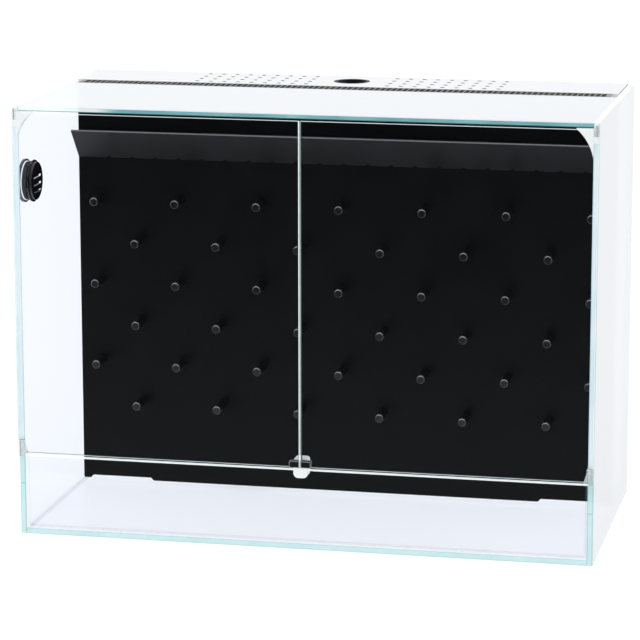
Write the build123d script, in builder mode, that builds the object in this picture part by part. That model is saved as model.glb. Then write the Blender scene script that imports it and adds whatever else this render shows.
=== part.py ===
from build123d import *
from math import cos, hypot, pi, sin
import os

# Frameless glass paludarium with a planting wall, in millimetres.
# Origin: middle of the footprint on the surface it stands on. X right, Y to the back, Z up.

# Overall size and glass
TANK_W = 600.0
TANK_D = 300.0
TANK_H = 450.0
SIDE_GLASS = 6.0
FLOOR_GLASS = 6.0
BACK_GLASS = 6.0
LOW_GLASS = 6.0
TOP_GLASS = 5.0
DOOR_GLASS = 5.0
LOW_PANEL_TOP = 84.0
ARRIS = 0.8
BEAD = 3.0
BEAD_END_GAP = 0.2
BEAD_HOLLOW = 0.4

# Planting wall
CHAMBER_D = 79.0
WALL_T = 3.0
WALL_SIDE_GAP = 0.3
WALL_FLANGE = 9.0
FLANGE_T = 2.0
FOOT_CUT_INSET = 8.0
FOOT_CUT_L = 72.0
FOOT_CUT_H = 3.2
FOOT_CUT_SLOPE = 3.0
FEED_SLOT_L = 320.0
FEED_SLOT_H = 12.0
FEED_SLOT_DROP = 54.0

# Drip trough
TROUGH_FOLD_DROP = 84.3
TROUGH_REACH = 29.0
TROUGH_RISE = 32.1
TROUGH_T = 2.0
NOTCH_END_INSET = 34.0
NOTCH_COUNT = 21
NOTCH_W = 4.5
NOTCH_DEPTH = 1.6

# Pegs
PEG_D = 9.0
PEG_L = 28.0
PEG_TIP_CHAMFER = 0.8
PEG_SPIGOT_D = 5.0
PEG_HOLE_GAP = 0.05
PEG_EDGE = 24.0
PEG_FIRST_Z = 96.0
PEG_TOP_DROP = 44.7
PEG_ROWS = 6
PEG_WIDE_ROW = 7

# Rear cover and the mesh strip in front of it
COVER_T = 4.0
COVER_SIDE_GAP = 1.0
COVER_LEDGE = 2.5
COVER_FRONT_GAP = 0.3
CABLE_HOLE_D = 35.2
CABLE_HOLE_INSET = 43.0
VENT_HOLE_D = 5.0
VENT_PITCH_X = 15.0
VENT_PITCH_Y = 20.0
VENT_COLUMNS = 9
VENT_LINES = 4
VENT_GROUP_X = 104.0
STRIP_D = 27.0
STRIP_END_GAP = 7.0
MESH_T = 1.0
MESH_RIM = 5.0
MESH_COLUMNS = 94
MESH_LINES = 3
MESH_BAR = 1.2
FRAME_BAR = 3.0

# Rubber ring in the cable hole
GROMMET_FLANGE_D = 39.0
GROMMET_FLANGE_T = 0.8
GROMMET_BORE = 31.0
GROMMET_GAP = 0.1
GROMMET_LIP_D = 38.0
GROMMET_LIP_T = 1.0
GROMMET_LIP_GAP = 0.2

# Doors
DOOR_GAP = 1.0
DOOR_EDGE_INSET = 0.5
DOOR_MEET_GAP = 1.4
DOOR_LIFT = 4.0
DOOR_TOP_GAP = 6.5
DOOR_EDGE_CHAMFER = 0.4

# Hinges
HINGE_INSET = 2.0
KNUCKLE_R = 2.3
PIN_R = 0.9
PIN_PRESS_GAP = 0.02
PIN_RUN_GAP = 0.08
NOTCH_IN = 6.0
CORNER_NOTCH_H = 13.0
BRACKET_H = 10.5
KNUCKLE_GAP = 0.3
CHEEK_T = 0.7
SHOE_CAP = 1.2
SHOE_WEB = 1.1
LOWER_SHOE_W = 5.0
LOWER_SHOE_H = 20.0
UPPER_SHOE_W = 17.0
UPPER_SHOE_H = 29.0
SHOE_HOLLOW = 0.1

# Magnet catch
STRIKE_W = 10.5
STRIKE_H = 6.4
STRIKE_T = 0.5
CATCH_W = 15.0
CATCH_TOP = 97.0
CATCH_BOTTOM = 76.0
CATCH_FRONT_T = 3.0
CATCH_BACK_T = 2.5
CATCH_BACK_BOTTOM = 78.0
CATCH_UNDER_DOOR = 0.3
CATCH_AIR_GAP = 0.3
CATCH_LOW_ROUND = 5.0
CATCH_TOP_ROUND = 3.0
MAGNET_W = 12.0
MAGNET_H = 6.0
MAGNET_T = 3.0
MAGNET_RISE = 1.0

# Side vent
VENT_SETBACK = 42.0
VENT_DROP = 83.5
VENT_GLASS_D = 41.0
VENT_FLANGE_D = 45.2
VENT_FLANGE_T = 2.5
VENT_BODY_D = 39.6
VENT_WALL = 2.0
GASKET_LIP_D = 45.4
GASKET_LIP_T = 1.4
VENT_CAP_FLANGE_D = 43.6
VENT_CAP_FLANGE_T = 1.2
VENT_CAP_REACH = 4.4
VENT_CAP_SEAT_GAP = 0.1
VENT_CAP_SEAT_L = 3.0
VENT_FACE_T = 2.0
VENT_FACE_ROUND = 0.8
VENT_SLOT_H = 2.4
VENT_SLOT_LENGTHS = (24.0, 24.0, 22.0)
VENT_SLOT_RISES = (4.8, -3.0, -10.6)
VENT_PIN_D = 2.0
VENT_PIN_RISE = 14.6
GASKET_GAP = 0.05
SCREEN_D = 37.8
SCREEN_T = 0.8
SCREEN_SEAT_GAP = 0.1
SCREEN_HOLE = 2.6
SCREEN_PITCH = 3.4
SCREEN_COUNT = 9
SCREEN_OPEN_R = 16.0

# Pump, riser and spray bar behind the wall
PUMP_L = 46.0
PUMP_D = 44.0
PUMP_H = 42.0
PUMP_WALL_GAP = 2.0
PUMP_EDGE = 3.0
CUP_H = 6.0
CUP_D = 14.0
CUP_NECK_D = 6.0
CUP_LIP_H = 1.2
CUP_STEM_D = 5.0
CUP_STEM_L = 3.0
CUP_INSET = 9.0
VOLUTE_R = 14.0
VOLUTE_T = 12.0
PUMP_AXIS_RISE = 21.0
OUTLET_X = -100.0
NIPPLE_D = 13.0
NIPPLE_BORE = 9.0
NIPPLE_L = 14.0
INTAKE_T = 6.0
INTAKE_SLOT_W = 3.0
INTAKE_SLOT_L = 9.0
INTAKE_SLOT_R = 9.5
INTAKE_SLOTS = 8
SHAFT_R = 1.0
SHAFT_SEAT = 6.0
SHAFT_TIP = 4.0
SHAFT_PRESS_GAP = 0.02
IMPELLER_R = 12.0
IMPELLER_DISC_T = 1.5
IMPELLER_HUB_R = 3.0
IMPELLER_VANES = 4
IMPELLER_VANE_T = 1.2
IMPELLER_END_GAP = 0.7
IMPELLER_BORE_GAP = 0.06
BAR_D = 16.0
BAR_BORE = 12.8
BAR_PAST_SLOT = 20.0
BAR_OFF_WALL = 14.5
BAR_HOLE_D = 3.0
BAR_HOLES = 12
PIPE_FIT_GAP = 0.1
PIPE_WALL = 1.4
PIPE_HEAD_GAP = 2.0
STUB_L = 14.0
STUB_BORE = 9.4
CAP_T = 2.0
CAP_SPIGOT_L = 6.0
CLIP_INSET = 10.0
CLIP_W = 12.0
CLIP_RIM = 3.0
CLIP_BORE_GAP = 0.1

# Places worked out from the sizes above
FRONT = -TANK_D / 2
BACK = TANK_D / 2
SIDE_IN = TANK_W / 2 - SIDE_GLASS
BACK_IN = BACK - BACK_GLASS
LOW_IN = FRONT + LOW_GLASS
COVER_UNDER = TANK_H - COVER_T
TOP_UNDER = TANK_H - TOP_GLASS
WALL_BACK = BACK_IN - CHAMBER_D
WALL_FRONT = WALL_BACK - WALL_T
WALL_EDGE = SIDE_IN - WALL_SIDE_GAP
COVER_FRONT = WALL_FRONT + COVER_LEDGE
STRIP_BACK = COVER_FRONT - COVER_FRONT_GAP
STRIP_FRONT = STRIP_BACK - STRIP_D
STRIP_END = SIDE_IN - STRIP_END_GAP
FEED_SLOT_Z = TANK_H - FEED_SLOT_DROP - FEED_SLOT_H / 2
FOOT_CUT_TO = SIDE_IN - FOOT_CUT_INSET
FOOT_CUT_FROM = FOOT_CUT_TO - FOOT_CUT_L
TROUGH_FOLD_Z = TANK_H - TROUGH_FOLD_DROP
NOTCH_PITCH = 2 * (SIDE_IN - NOTCH_END_INSET) / (NOTCH_COUNT - 1)
PEG_PITCH_X = 2 * (SIDE_IN - PEG_EDGE) / (PEG_WIDE_ROW - 1)
PEG_PITCH_Z = (TROUGH_FOLD_Z - PEG_TOP_DROP - PEG_FIRST_Z) / (PEG_ROWS - 1)
CABLE_HOLE_Y = BACK - CABLE_HOLE_INSET
MESH_PITCH_X = 2 * (STRIP_END - MESH_RIM) / MESH_COLUMNS
MESH_PITCH_Y = (STRIP_D - 2 * FRAME_BAR) / MESH_LINES
VENT_Y = FRONT + VENT_SETBACK
VENT_Z = TANK_H - VENT_DROP
DOOR_BACK = FRONT - DOOR_GAP
DOOR_FRONT = DOOR_BACK - DOOR_GLASS
DOOR_OUT = TANK_W / 2 - DOOR_EDGE_INSET
DOOR_IN = DOOR_MEET_GAP / 2
DOOR_BOTTOM = LOW_PANEL_TOP + DOOR_LIFT
DOOR_TOP = TANK_H - DOOR_TOP_GAP
HINGE_X = TANK_W / 2 - HINGE_INSET
HINGE_Y = (DOOR_FRONT + DOOR_BACK) / 2
NOTCH_X = DOOR_OUT - NOTCH_IN
BAR_L = FEED_SLOT_L + 2 * BAR_PAST_SLOT
CLIP_X = BAR_L / 2 - CLIP_INSET
BAR_Y = WALL_BACK + BAR_OFF_WALL
BAR_Z = FEED_SLOT_Z
PUMP_Y_LOW = WALL_BACK + PUMP_WALL_GAP
PUMP_Y = PUMP_Y_LOW + PUMP_D / 2
PUMP_BOTTOM = FLOOR_GLASS + CUP_H
PUMP_TOP = PUMP_BOTTOM + PUMP_H
PUMP_AXIS_Z = PUMP_BOTTOM + PUMP_AXIS_RISE
PUMP_FACE = OUTLET_X + VOLUTE_T / 2
PIPE_R_IN = NIPPLE_D / 2 + PIPE_FIT_GAP

os.makedirs("parts", exist_ok=True)


def save(built, name):
    """Label one finished piece and write it as its own STEP file."""
    built.part.label = name
    export_step(built.part, "parts/" + name + ".step")


def add_block(low, high):
    """Rectangular block between two opposite corners, added to the part being built."""
    middle = [(a + b) / 2 for a, b in zip(low, high)]
    size = [b - a for a, b in zip(low, high)]
    with Locations(tuple(middle)):
        Box(*size)


def pane(low, high):
    """Flat sheet between two opposite corners."""
    with BuildPart() as sheet:
        with BuildSketch(Plane.XY.offset(low[2])):
            with Locations(((low[0] + high[0]) / 2, (low[1] + high[1]) / 2)):
                Rectangle(high[0] - low[0], high[1] - low[1])
        extrude(amount=high[2] - low[2])
    return sheet


def bead(plane, corner, step_a, step_b, length):
    """Silicone bead of quarter hollow section in an inner corner, run along a plane's normal."""
    middle = (corner[0] + step_a * BEAD_HOLLOW, corner[1] + step_b * BEAD_HOLLOW)
    with BuildPart() as run:
        with BuildSketch(plane):
            with BuildLine():
                Line(corner, (corner[0] + step_a, corner[1]))
                ThreePointArc((corner[0] + step_a, corner[1]), middle, (corner[0], corner[1] + step_b))
                Line((corner[0], corner[1] + step_b), corner)
            make_face()
        extrude(amount=length)
    return run


def ground(sheet, along, towards, last=False):
    """The same sheet with both arrises of one cut edge ground off."""
    with BuildPart() as finished:
        add(sheet.part)
        cut_edges = finished.edges().filter_by(along).group_by(towards)
        chamfer(cut_edges[-1 if last else 0], ARRIS)
    return finished


def joined(runs):
    """Several separate beads kept as one piece of several solids."""
    with BuildPart() as group:
        for run in runs:
            add(run.part)
    return group


# Glass box
bottom_glass = pane((-SIDE_IN, FRONT, 0), (SIDE_IN, BACK, FLOOR_GLASS))
save(bottom_glass, "bottom_glass")

right_pane = pane((SIDE_IN, FRONT, 0), (TANK_W / 2, BACK, TANK_H))
right_side_glass = ground(right_pane, Axis.Z, Axis.Y)
save(right_side_glass, "right_side_glass")

with BuildPart() as left_pane:
    with BuildSketch(Plane.YZ.offset(-TANK_W / 2)):
        with Locations((0, TANK_H / 2)):
            Rectangle(TANK_D, TANK_H)
        with Locations((VENT_Y, VENT_Z)):
            Circle(VENT_GLASS_D / 2, mode=Mode.SUBTRACT)
    extrude(amount=SIDE_GLASS)
left_side_glass = ground(left_pane, Axis.Z, Axis.Y)
save(left_side_glass, "left_side_glass")

back_glass = pane((-SIDE_IN, BACK_IN, FLOOR_GLASS), (SIDE_IN, BACK, COVER_UNDER))
save(back_glass, "back_glass")

low_pane = pane((-SIDE_IN, FRONT, FLOOR_GLASS), (SIDE_IN, LOW_IN, LOW_PANEL_TOP))
lower_front_glass = ground(low_pane, Axis.X, Axis.Z, last=True)
save(lower_front_glass, "lower_front_glass")

top_pane = pane((-SIDE_IN, FRONT, TOP_UNDER), (SIDE_IN, STRIP_FRONT, TANK_H))
top_front_glass = ground(top_pane, Axis.X, Axis.Y)
save(top_front_glass, "top_front_glass")

# Silicone beads in the inner corners
floor_runs = []
corner_inset = BEAD + BEAD_END_GAP
for side in (-1, 1):
    corner = (side * SIDE_IN, FLOOR_GLASS)
    for near, far in ((LOW_IN + corner_inset, WALL_FRONT), (WALL_BACK, BACK_IN - corner_inset)):
        floor_runs.append(bead(Plane.XZ.offset(-far), corner, -side * BEAD, BEAD, far - near))
for inner, step in ((LOW_IN, BEAD), (BACK_IN, -BEAD)):
    start = Plane.YZ.offset(-SIDE_IN + corner_inset)
    reach = 2 * (SIDE_IN - corner_inset)
    floor_runs.append(bead(start, (inner, FLOOR_GLASS), step, BEAD, reach))
floor_seam = joined(floor_runs)
save(floor_seam, "floor_seam")

upright_start = FLOOR_GLASS + corner_inset
rear_runs = []
front_runs = []
wall_runs = []
for side in (-1, 1):
    base = Plane.XY.offset(upright_start)
    high = COVER_UNDER - BEAD_END_GAP - upright_start
    rear_runs.append(bead(base, (side * SIDE_IN, BACK_IN), -side * BEAD, -BEAD, high))
    low = LOW_PANEL_TOP - upright_start
    front_runs.append(bead(base, (side * SIDE_IN, LOW_IN), -side * BEAD, BEAD, low))
    behind = COVER_UNDER - FLANGE_T - BEAD_END_GAP - upright_start
    wall_runs.append(bead(base, (side * SIDE_IN, WALL_BACK), -side * BEAD, BEAD, behind))
rear_corner_seams = joined(rear_runs)
save(rear_corner_seams, "rear_corner_seams")
front_corner_seams = joined(front_runs)
save(front_corner_seams, "front_corner_seams")
wall_seams = joined(wall_runs)
save(wall_seams, "wall_seams")

top_runs = []
for side in (-1, 1):
    start = Plane.XZ.offset(-STRIP_FRONT)
    corner = (side * SIDE_IN, TOP_UNDER)
    top_runs.append(bead(start, corner, -side * BEAD, -BEAD, STRIP_FRONT - FRONT))
top_seams = joined(top_runs)
save(top_seams, "top_seams")

# Planting wall: one black sheet, folded back at its top, standing on the floor glass
peg_rows = []
for row in range(PEG_ROWS):
    count = PEG_WIDE_ROW if row % 2 else PEG_WIDE_ROW - 1
    height = PEG_FIRST_Z + row * PEG_PITCH_Z
    places = [((k - (count - 1) / 2) * PEG_PITCH_X, height) for k in range(count)]
    peg_rows.append(places)

with BuildPart() as planting_wall:
    with BuildSketch(Plane.XZ.offset(-WALL_BACK)):
        with Locations((0, (FLOOR_GLASS + COVER_UNDER) / 2)):
            Rectangle(2 * WALL_EDGE, COVER_UNDER - FLOOR_GLASS)
        with Locations((0, FEED_SLOT_Z)):
            SlotOverall(FEED_SLOT_L, FEED_SLOT_H, mode=Mode.SUBTRACT)
        for side in (-1, 1):
            with BuildLine():
                Polyline(
                    (side * FOOT_CUT_FROM, FLOOR_GLASS),
                    (side * (FOOT_CUT_FROM + FOOT_CUT_SLOPE), FLOOR_GLASS + FOOT_CUT_H),
                    (side * (FOOT_CUT_TO - FOOT_CUT_SLOPE), FLOOR_GLASS + FOOT_CUT_H),
                    (side * FOOT_CUT_TO, FLOOR_GLASS),
                    close=True,
                )
            make_face(mode=Mode.SUBTRACT)
        for places in peg_rows:
            with Locations(*places):
                Circle(PEG_SPIGOT_D / 2 + PEG_HOLE_GAP, mode=Mode.SUBTRACT)
    extrude(amount=WALL_T)
    add_block(
        (-WALL_EDGE, WALL_BACK, COVER_UNDER - FLANGE_T),
        (WALL_EDGE, WALL_BACK + WALL_FLANGE, COVER_UNDER),
    )
save(planting_wall, "planting_wall")

# Drip trough: a sheet leaning out from the wall, with outflow notches along its fold
slope = hypot(TROUGH_REACH, TROUGH_RISE)
lip_out = (WALL_FRONT - TROUGH_REACH, TROUGH_FOLD_Z + TROUGH_RISE)
lip_in = (
    lip_out[0] + TROUGH_T * TROUGH_RISE / slope,
    lip_out[1] + TROUGH_T * TROUGH_REACH / slope,
)
fold_in = (WALL_FRONT, TROUGH_FOLD_Z + TROUGH_T * slope / TROUGH_REACH)

with BuildPart() as trough_flap:
    with BuildSketch(Plane.YZ.offset(-WALL_EDGE)):
        with BuildLine():
            Polyline((WALL_FRONT, TROUGH_FOLD_Z), lip_out, lip_in, fold_in, close=True)
        make_face()
    extrude(amount=2 * WALL_EDGE)
    notch_height = 2 * NOTCH_DEPTH * TROUGH_RISE / TROUGH_REACH + TROUGH_T * slope / TROUGH_REACH
    notch_y = WALL_FRONT - NOTCH_DEPTH / 2
    with BuildSketch(Plane.XY.offset(TROUGH_FOLD_Z)):
        with Locations((0, notch_y)):
            with GridLocations(NOTCH_PITCH, 1, NOTCH_COUNT, 1):
                Rectangle(NOTCH_W, NOTCH_DEPTH)
    extrude(amount=notch_height, mode=Mode.SUBTRACT)
save(trough_flap, "trough_flap")

# Pegs, one node a row, numbered from the bottom
for row, places in enumerate(peg_rows, start=1):
    with BuildPart() as pegs:
        with BuildSketch(Plane.XZ.offset(-WALL_FRONT)):
            with Locations(*places):
                Circle(PEG_D / 2)
        extrude(amount=PEG_L)
        tips = pegs.edges().group_by(Axis.Y)[0]
        chamfer(tips, PEG_TIP_CHAMFER)
        with BuildSketch(Plane.XZ.offset(-WALL_BACK)):
            with Locations(*places):
                Circle(PEG_SPIGOT_D / 2)
        extrude(amount=WALL_T)
    save(pegs, "peg_row_" + str(row))

# Mesh strip between the top glass and the cover, on a frame and two glass end blocks
with BuildPart() as mesh_frame:
    with BuildSketch(Plane.XY.offset(COVER_UNDER)):
        with Locations((0, (STRIP_FRONT + STRIP_BACK) / 2)):
            Rectangle(2 * STRIP_END, STRIP_D)
            Rectangle(2 * (STRIP_END - FRAME_BAR), STRIP_D - 2 * FRAME_BAR, mode=Mode.SUBTRACT)
    extrude(amount=COVER_T - MESH_T)
save(mesh_frame, "mesh_frame")

with BuildPart() as mesh_strip:
    with BuildSketch(Plane.XY.offset(TANK_H - MESH_T)):
        with Locations((0, (STRIP_FRONT + STRIP_BACK) / 2)):
            Rectangle(2 * STRIP_END, STRIP_D)
            with GridLocations(MESH_PITCH_X, MESH_PITCH_Y, MESH_COLUMNS, MESH_LINES):
                Rectangle(MESH_PITCH_X - MESH_BAR, MESH_PITCH_Y - MESH_BAR, mode=Mode.SUBTRACT)
    extrude(amount=MESH_T)
save(mesh_strip, "mesh_strip")

with BuildPart() as mesh_end_blocks:
    for side in (-1, 1):
        low_x, high_x = sorted((side * STRIP_END, side * SIDE_IN))
        add_block((low_x, STRIP_FRONT, COVER_UNDER), (high_x, STRIP_BACK, TANK_H))
save(mesh_end_blocks, "mesh_end_blocks")

# Lift off rear cover, resting on the back glass and on the wall's flange
cover_edge = SIDE_IN - COVER_SIDE_GAP
with BuildPart() as rear_cover:
    with BuildSketch(Plane.XY.offset(COVER_UNDER)):
        with Locations((0, (COVER_FRONT + BACK) / 2)):
            Rectangle(2 * cover_edge, BACK - COVER_FRONT)
        with Locations((0, CABLE_HOLE_Y)):
            Circle(CABLE_HOLE_D / 2, mode=Mode.SUBTRACT)
        with Locations((-VENT_GROUP_X, CABLE_HOLE_Y), (VENT_GROUP_X, CABLE_HOLE_Y)):
            with GridLocations(VENT_PITCH_X, VENT_PITCH_Y, VENT_COLUMNS, VENT_LINES):
                Circle(VENT_HOLE_D / 2, mode=Mode.SUBTRACT)
    extrude(amount=COVER_T)
    with BuildSketch(Plane.XY.offset(TANK_H - GROMMET_FLANGE_T)):
        with Locations((0, CABLE_HOLE_Y)):
            Circle(GROMMET_FLANGE_D / 2 + GROMMET_GAP)
    extrude(amount=GROMMET_FLANGE_T, mode=Mode.SUBTRACT)
save(rear_cover, "rear_cover")

with BuildPart() as cable_grommet:
    sleeve_r = CABLE_HOLE_D / 2 - GROMMET_GAP
    lip_top = COVER_UNDER - GROMMET_LIP_GAP
    flange_under = TANK_H - GROMMET_FLANGE_T
    with BuildSketch(Plane.XZ.offset(-CABLE_HOLE_Y)):
        with BuildLine():
            Polyline(
                (GROMMET_BORE / 2, lip_top - GROMMET_LIP_T),
                (GROMMET_LIP_D / 2, lip_top - GROMMET_LIP_T),
                (GROMMET_LIP_D / 2, lip_top),
                (sleeve_r, lip_top),
                (sleeve_r, flange_under),
                (GROMMET_FLANGE_D / 2, flange_under),
                (GROMMET_FLANGE_D / 2, TANK_H),
                (GROMMET_BORE / 2, TANK_H),
                close=True,
            )
        make_face()
    revolve(axis=Axis((0, CABLE_HOLE_Y, 0), (0, 0, 1)))
save(cable_grommet, "cable_grommet")


# Doors: plain panes with a notch for the hinge at both outer corners
def door_glass(side):
    """Door pane on the left (side -1) or right (side 1)."""
    centre = (side * (DOOR_IN + DOOR_OUT) / 2, (DOOR_BOTTOM + DOOR_TOP) / 2)
    notch_x = side * (DOOR_OUT - NOTCH_IN / 2)
    notch_rise = CORNER_NOTCH_H / 2
    with BuildPart() as door:
        with BuildSketch(Plane.XZ.offset(-DOOR_BACK)):
            with Locations(centre):
                Rectangle(DOOR_OUT - DOOR_IN, DOOR_TOP - DOOR_BOTTOM)
            with Locations((notch_x, DOOR_BOTTOM + notch_rise), (notch_x, DOOR_TOP - notch_rise)):
                Rectangle(NOTCH_IN, CORNER_NOTCH_H, mode=Mode.SUBTRACT)
        extrude(amount=DOOR_GLASS)
        long_edges = door.edges().filter_by(Axis.Z).filter_by(lambda e: e.length > CORNER_NOTCH_H)
        meeting = [e for e in long_edges if abs(abs(e.center().X) - DOOR_IN) < DOOR_EDGE_CHAMFER]
        chamfer(meeting, DOOR_EDGE_CHAMFER)
    return door


left_door_glass = door_glass(-1)
save(left_door_glass, "left_door_glass")
right_door_glass = door_glass(1)
save(right_door_glass, "right_door_glass")


def hinge_bracket(side, low, high):
    """Fixed knuckle on a neck bonded to the side panel's front edge."""
    outer = min(HINGE_X + KNUCKLE_R, TANK_W / 2)
    low_x, high_x = sorted((side * (HINGE_X - KNUCKLE_R), side * outer))
    with BuildPart() as bracket:
        with BuildSketch(Plane.XY.offset(low)):
            with Locations((side * HINGE_X, HINGE_Y)):
                Circle(KNUCKLE_R)
            with Locations(((low_x + high_x) / 2, (HINGE_Y + FRONT) / 2)):
                Rectangle(high_x - low_x, FRONT - HINGE_Y)
            with Locations((side * HINGE_X, HINGE_Y)):
                Circle(PIN_R + PIN_PRESS_GAP, mode=Mode.SUBTRACT)
        extrude(amount=high - low)
    return bracket


def hinge_pin(side, low, high):
    """Steel pin held in the bracket, on which the shoe turns."""
    with BuildPart() as pin:
        with BuildSketch(Plane.XY.offset(low)):
            with Locations((side * HINGE_X, HINGE_Y)):
                Circle(PIN_R)
        extrude(amount=high - low)
    return pin


def hinge_shoe(door, side, edge, inward, width, height, low, high):
    """Clear corner shoe gripping the door at its edge, inward being up or down from there."""
    web = NOTCH_X + SHOE_WEB
    rim = edge - inward * SHOE_CAP
    tip = (web - width, rim)
    foot = (web, rim + inward * height)
    hollow = (
        (tip[0] + foot[0]) / 2 + SHOE_HOLLOW * width,
        (tip[1] + foot[1]) / 2 - inward * SHOE_HOLLOW * height,
    )
    with BuildPart() as shoe:
        with BuildSketch(Plane.XZ.offset(-(DOOR_BACK + CHEEK_T))):
            with BuildLine():
                Line((side * web, rim), (side * tip[0], tip[1]))
                ThreePointArc(
                    (side * tip[0], tip[1]), (side * hollow[0], hollow[1]), (side * foot[0], foot[1])
                )
                Line((side * foot[0], foot[1]), (side * web, rim))
            make_face()
        extrude(amount=DOOR_GLASS + 2 * CHEEK_T)
        with BuildSketch(Plane.XY.offset(low)):
            with Locations((side * HINGE_X, HINGE_Y)):
                Circle(KNUCKLE_R)
            with Locations((side * (web + HINGE_X) / 2, HINGE_Y)):
                Rectangle(HINGE_X - web, 2 * KNUCKLE_R)
        extrude(amount=high - low)
        add(door.part, mode=Mode.SUBTRACT)
        with BuildSketch(Plane.XY.offset(low)):
            with Locations((side * HINGE_X, HINGE_Y)):
                Circle(PIN_R + PIN_RUN_GAP)
        extrude(amount=high - low, mode=Mode.SUBTRACT)
    return shoe


def x_span(side, near, far):
    """The two X values of a stretch on one side of the middle, low one first."""
    return sorted((side * near, side * far))


lower_bracket = (LOW_PANEL_TOP, LOW_PANEL_TOP + BRACKET_H)
upper_bracket = (DOOR_TOP + DOOR_LIFT - BRACKET_H, DOOR_TOP + DOOR_LIFT)
lower_knuckle = (lower_bracket[1] + KNUCKLE_GAP, DOOR_BOTTOM + CORNER_NOTCH_H)
upper_knuckle = (DOOR_TOP - CORNER_NOTCH_H, upper_bracket[0] - KNUCKLE_GAP)
for side, hand, door in ((-1, "left", left_door_glass), (1, "right", right_door_glass)):
    save(hinge_bracket(side, *lower_bracket), hand + "_lower_hinge_bracket")
    save(hinge_bracket(side, *upper_bracket), hand + "_upper_hinge_bracket")
    save(hinge_pin(side, lower_bracket[0], lower_knuckle[1]), hand + "_lower_hinge_pin")
    save(hinge_pin(side, upper_knuckle[0], upper_bracket[1]), hand + "_upper_hinge_pin")
    lower_shoe = hinge_shoe(door, side, DOOR_BOTTOM, 1, LOWER_SHOE_W, LOWER_SHOE_H, *lower_knuckle)
    save(lower_shoe, hand + "_lower_hinge_shoe")
    upper_shoe = hinge_shoe(door, side, DOOR_TOP, -1, UPPER_SHOE_W, UPPER_SHOE_H, *upper_knuckle)
    save(upper_shoe, hand + "_upper_hinge_shoe")

# Steel strike plates folded round the doors' lower inner corners
for side, hand in ((-1, "left"), (1, "right")):
    low_x, high_x = x_span(side, DOOR_IN, DOOR_IN + STRIKE_W)
    with BuildPart() as strike_plate:
        with BuildSketch(Plane.YZ.offset(low_x)):
            with Locations((HINGE_Y, DOOR_BOTTOM - STRIKE_T + (STRIKE_H + STRIKE_T) / 2)):
                Rectangle(DOOR_GLASS + 2 * STRIKE_T, STRIKE_H + STRIKE_T)
            with Locations((HINGE_Y, DOOR_BOTTOM + STRIKE_H / 2)):
                Rectangle(DOOR_GLASS, STRIKE_H, mode=Mode.SUBTRACT)
        extrude(amount=high_x - low_x)
    save(strike_plate, hand + "_strike_plate")

# Magnet catch clipped over the low panel's top edge, reaching up behind the doors
strike_back = DOOR_BACK + STRIKE_T
strike_under = DOOR_BOTTOM - STRIKE_T
catch_face = strike_back + CATCH_AIR_GAP
catch_shelf = strike_under - CATCH_UNDER_DOOR
magnet_low = DOOR_BOTTOM + MAGNET_RISE - STRIKE_T
with BuildPart() as catch_holder:
    with BuildSketch(Plane.YZ.offset(-CATCH_W / 2)):
        with BuildLine():
            Polyline(
                (FRONT - CATCH_FRONT_T, CATCH_BOTTOM),
                (FRONT, CATCH_BOTTOM),
                (FRONT, LOW_PANEL_TOP),
                (LOW_IN, LOW_PANEL_TOP),
                (LOW_IN, CATCH_BACK_BOTTOM),
                (LOW_IN + CATCH_BACK_T, CATCH_BACK_BOTTOM),
                (LOW_IN + CATCH_BACK_T, CATCH_TOP),
                (catch_face, CATCH_TOP),
                (catch_face, catch_shelf),
                (FRONT - CATCH_FRONT_T, catch_shelf),
                close=True,
            )
        make_face()
    extrude(amount=CATCH_W)
    with BuildSketch(Plane.XZ.offset(-(LOW_IN + CATCH_BACK_T))) as outline:
        with Locations((0, (CATCH_BOTTOM + CATCH_TOP) / 2)):
            Rectangle(CATCH_W, CATCH_TOP - CATCH_BOTTOM)
        fillet(outline.vertices().group_by(Axis.Y)[0], CATCH_LOW_ROUND)
        fillet(outline.vertices().group_by(Axis.Y)[-1], CATCH_TOP_ROUND)
    extrude(amount=LOW_GLASS + CATCH_FRONT_T + CATCH_BACK_T, mode=Mode.INTERSECT)
    with BuildSketch(Plane.XZ.offset(-(catch_face + MAGNET_T))):
        with Locations((0, magnet_low + MAGNET_H / 2)):
            Rectangle(MAGNET_W, MAGNET_H)
    extrude(amount=MAGNET_T, mode=Mode.SUBTRACT)
save(catch_holder, "catch_holder")

catch_magnet = pane(
    (-MAGNET_W / 2, catch_face, magnet_low),
    (MAGNET_W / 2, catch_face + MAGNET_T, magnet_low + MAGNET_H),
)
save(catch_magnet, "catch_magnet")

# Side vent: a plug pushed through the left glass from outside, with a slotted cap inside
cap_base = -SIDE_IN + GASKET_LIP_T
vent_face = cap_base + VENT_CAP_REACH
vent_centre = (VENT_Y, VENT_Z)
vent_bore = VENT_BODY_D / 2 - VENT_WALL
with BuildPart() as vent_plug:
    with BuildSketch(Plane.YZ.offset(-TANK_W / 2 - VENT_FLANGE_T)):
        with Locations(vent_centre):
            Circle(VENT_FLANGE_D / 2)
    extrude(amount=VENT_FLANGE_T)
    with BuildSketch(Plane.YZ.offset(-TANK_W / 2)):
        with Locations(vent_centre):
            Circle(VENT_BODY_D / 2)
    extrude(amount=cap_base + TANK_W / 2)
    with BuildSketch(Plane.YZ.offset(-TANK_W / 2 - VENT_FLANGE_T)):
        with Locations(vent_centre):
            Circle(vent_bore)
    extrude(amount=cap_base + TANK_W / 2 + VENT_FLANGE_T, mode=Mode.SUBTRACT)
    with BuildSketch(Plane.YZ.offset(-TANK_W / 2 - VENT_FLANGE_T)):
        with Locations(vent_centre):
            Circle(SCREEN_D / 2 + SCREEN_SEAT_GAP)
    extrude(amount=SCREEN_T, mode=Mode.SUBTRACT)
save(vent_plug, "vent_plug")

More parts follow.
